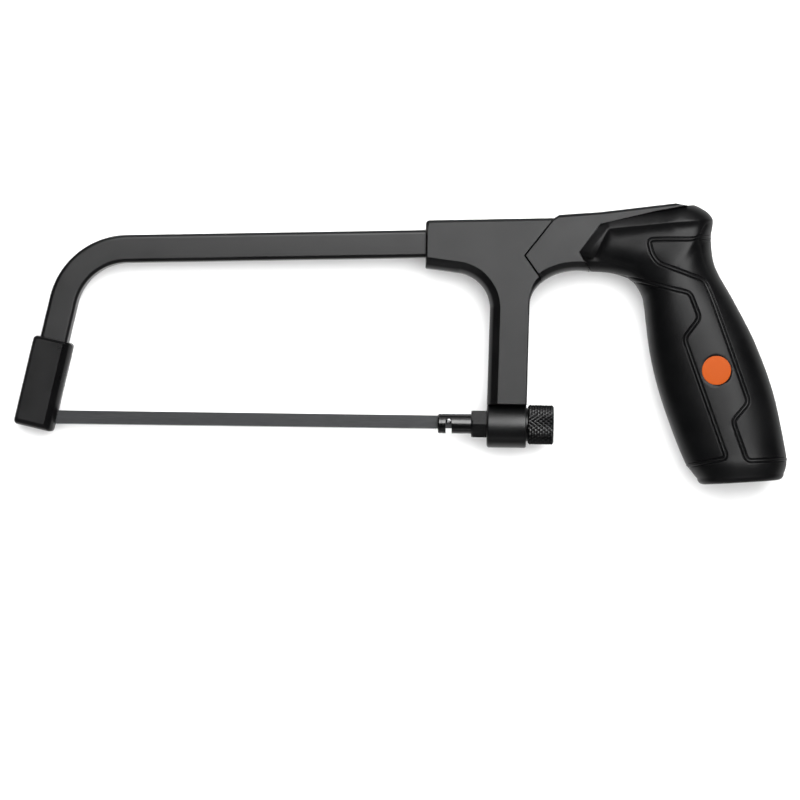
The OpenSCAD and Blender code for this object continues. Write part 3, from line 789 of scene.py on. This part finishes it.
class HACKSAW_OT_tensioner(bpy.types.Operator):
    """Slotted stud with its hexagon, knurled thumb nut and washer"""

    bl_idname = "hacksaw.tensioner"
    bl_label = "Blade tensioner"

    def execute(self, context):
        r = mm("head_d") / 2
        head = turned([(-3.9, r - 0.9), (-3.9, r - 0.45), (-3.75, r - 0.2), (-3.4, r), (-2.75, r),
                       (-2.68, r - 0.12), (-2.5, r - 0.12), (-2.43, r), (8.3, r), (8.3, r - 1.5)])
        half_af = mm("hex_af") / 2
        rows = [(8.1, half_af * 0.9), (8.1, half_af * 0.985), (8.75, half_af * 1.16), (18.4, half_af * 1.16)]

        def hex_ring(x, limit):
            ring = []
            for a in whole_turn(96):
                flat = half_af / math.cos((a + math.pi / 2) % (math.pi / 3) - math.pi / 6)
                radius = min(flat, limit)
                ring.append((x, radius * math.cos(a), radius * math.sin(a)))
            return ring

        hexagon = loft([hex_ring(*row) for row in rows])
        shank = turned([(18.2, 2.5), (36.0, 2.5), (36.4, 2.1)], 48)
        stud = raw_mesh("stud_head", head)
        notch = 1.1
        slot = block((-5, -8, -SLIT_HALF), (4.4, 8, SLIT_HALF))
        cut(stud, slot, block((-notch, -8, -8), (notch, PIN_RISE, 8)), pillar((0, PIN_RISE), notch, -8, 8))
        merge(stud, join(hexagon, shank))
        piece(stud, "black_oxide", "stud", "tension_stud", crease=25)

        big, depth, count, pitch = mm("nut_d") / 2, mm("knurl_depth"), sizes().knurl_count, 1.9
        steps_per_diamond, lengthwise = 16, 73
        back, bevel = NUT_FRONT + mm("nut_len"), 0.8

        def knurl(a, x):
            round_nut, along_nut = count * a / (2 * math.pi), (x - NUT_FRONT) / pitch
            waves = [1 - abs(2 * ((round_nut + s * along_nut) % 1) - 1) for s in (-1, 1)]
            return big - depth * (1 - min(1.0, 1.1 * min(waves)))

        plain = [(NUT_FRONT, 2.6), (NUT_FRONT, big - bevel)]
        rear = [(back, big - bevel), (back, 4.3), (back - 0.25, 4.0), (back - 0.25, 0.001)]
        rows = np.linspace(NUT_FRONT + bevel * 0.55, back - bevel * 0.55, lengthwise)
        turns = whole_turn(count * steps_per_diamond)

        def row(x, radius_at):
            return [(x, radius_at(a) * math.cos(a), radius_at(a) * math.sin(a)) for a in turns]

        rings = [row(x, lambda a, q=q: q) for x, q in plain]
        for x in rows:
            limit = big - bevel + min(x - NUT_FRONT, back - x) * 1.4
            rings.append(row(x, lambda a, x=x, limit=limit: min(knurl(a, x), limit)))
        rings += [row(x, lambda a, q=q: q) for x, q in rear]
        piece(raw_mesh("knurled_nut", loft(rings)), "black_oxide", "nut", "thumb_nut", crease=18)
        dress("thrust_washer", "washer_steel")
        return {"FINISHED"}


class HACKSAW_OT_collar(bpy.types.Operator):
    """Collar between the casting and the grip"""

    bl_idname = "hacksaw.collar"
    bl_label = "Handle collar"

    def execute(self, context):
        under = arc(HAND_MID, HAND_ARC, 138, 77, 12)
        points = [*under, *GRIP_CHEVRON[1:], (80.2, 79.9), (53.5, 76.5), (38.7, 75.3), CHEVRON_TOP,
                  CHEVRON_TIP]
        tucked, step = (0.15, 0.15), (0.5, 0.5)
        bevels = [(3.0, 3.2)] * (len(under) - 1) + [tucked] * 5
        bevels += [(0.9, 0.9), (1.1, 1.1), (0.8, 0.8), step, step]
        collar = raw_mesh("grip_collar", bevelled_slab(points, bevels, mm("collar_t") / 2))
        piece(collar, "collar_nylon", "frame", "handle_collar", crease=50)
        return {"FINISHED"}


class HACKSAW_OT_grip(bpy.types.Operator):
    """Grip shells with their soft pads, disc, butt plug and screws"""

    bl_idname = "hacksaw.grip"
    bl_label = "Pistol grip"

    def execute(self, context):
        half = grip_half()
        ahead = [(20, 40), (51.2, 53.9), *GRIP_CHEVRON[1:], (100, 82.3), (100, 95), (20, 95)]
        front, back = np.array(GRIP_SECTIONS[-1][0]), np.array(GRIP_SECTIONS[-1][1])
        butt, way = (front + back) / 2, (back - front) / np.linalg.norm(back - front)
        down = np.array([way[1], -way[0]])
        rear_pad = rounded(REAR_BEAD, BEAD_ROUND) + [np.array((140, -10.9)), np.array((140, 67.9))]
        front_pad = rounded(FRONT_BEAD, BEAD_ROUND) + [np.array((40, -15.2)), np.array((40, 53.4))]
        for side, sign in (("right", 1), ("left", -1)):
            rings = [[(x, y, sign * z) for x, y, z in ring] for ring in half]
            shell = raw_mesh(f"grip_shell_{side}", loft(rings))
            model(shell)
            stadium = [(s * 4 + 7.05 * math.cos(a), 7.05 * math.sin(a)) for s, start in ((1, -90), (-1, 90))
                       for a in np.radians(np.linspace(start, start + 180, 17))]
            seat = loft([[(*(butt + way * u + down * d), v) for u, v in stadium] for d in (-2.85, 4)])
            cutters = [loft([[(x, y, z) for x, y in ahead] for z in (-40, 40)]), seat]
            if side == "left":
                cutters += [pillar(spot, 3.6, -40, -8.5) for spot in SCREW_SPOTS]
            cut(shell, *cutters)
            pads = [split_off(shell, f"grip_pad_{end}_{side}", outline)
                    for end, outline in (("rear", rear_pad), ("front", front_pad))]
            piece(shell, "shell_nylon", "frame", f"handle_shell_{side}", crease=55)
            piece(pads[0], "pad_rubber", "frame", f"rear_pad_{side}", crease=55)
            piece(pads[1], "pad_rubber", "frame", f"front_pad_{side}", crease=55)
        dress("butt_plug", "plug_plastic")
        dress("handle_screws", "screw_steel")
        r = mm("badge_d") / 2
        profile = [(r - 0.05, -1.0), (r, -0.3), (r - 0.06, -0.1), (r - 0.25, 0.0), (r * 0.6, 0.07),
                   (0.001, 0.1)]
        angles = whole_turn(96)
        rings = [[(BADGE_SPOT[0] + q * math.cos(a), BADGE_SPOT[1] + q * math.sin(a),
                   BADGE_Z + h - q * math.cos(a) * BADGE_LEAN) for a in angles] for q, h in profile]
        piece(raw_mesh("plain_disc", loft(rings)), "badge_orange", "frame", "badge_disc")
        return {"FINISHED"}


class HACKSAW_PT_pieces(bpy.types.Panel):
    """Lists the pieces, with their sizes and colours"""

    bl_idname = "HACKSAW_PT_pieces"
    bl_label = "Junior Hacksaw"
    bl_space_type = "VIEW_3D"
    bl_region_type = "UI"
    bl_category = "Hacksaw"

    def draw(self, context):
        for operator in OPERATORS:
            self.layout.operator(operator.bl_idname)
        for group in (context.scene.hacksaw_sizes, context.scene.hacksaw_colours):
            box = self.layout.box()
            for name in group.__annotations__:
                box.prop(group, name)


OPERATORS = (
    HACKSAW_OT_stage,
    HACKSAW_OT_casting,
    HACKSAW_OT_tube,
    HACKSAW_OT_nose_cap,
    HACKSAW_OT_blade,
    HACKSAW_OT_tensioner,
    HACKSAW_OT_collar,
    HACKSAW_OT_grip,
)
CLASSES = (HacksawSizes, HacksawColours, *OPERATORS, HACKSAW_PT_pieces)


def register():
    for cls in CLASSES:
        bpy.utils.register_class(cls)
    bpy.types.Scene.hacksaw_sizes = PointerProperty(type=HacksawSizes)
    bpy.types.Scene.hacksaw_colours = PointerProperty(type=HacksawColours)


def unregister():
    del bpy.types.Scene.hacksaw_colours
    del bpy.types.Scene.hacksaw_sizes
    for cls in reversed(CLASSES):
        bpy.utils.unregister_class(cls)


def main():
    register()
    finishes()
    bpy.ops.hacksaw.stage()
    bpy.ops.hacksaw.casting()
    bpy.ops.hacksaw.tube()
    bpy.ops.hacksaw.nose_cap()
    bpy.ops.hacksaw.blade()
    bpy.ops.hacksaw.tensioner()
    bpy.ops.hacksaw.collar()
    bpy.ops.hacksaw.grip()


if __name__ == "__main__":
    main()
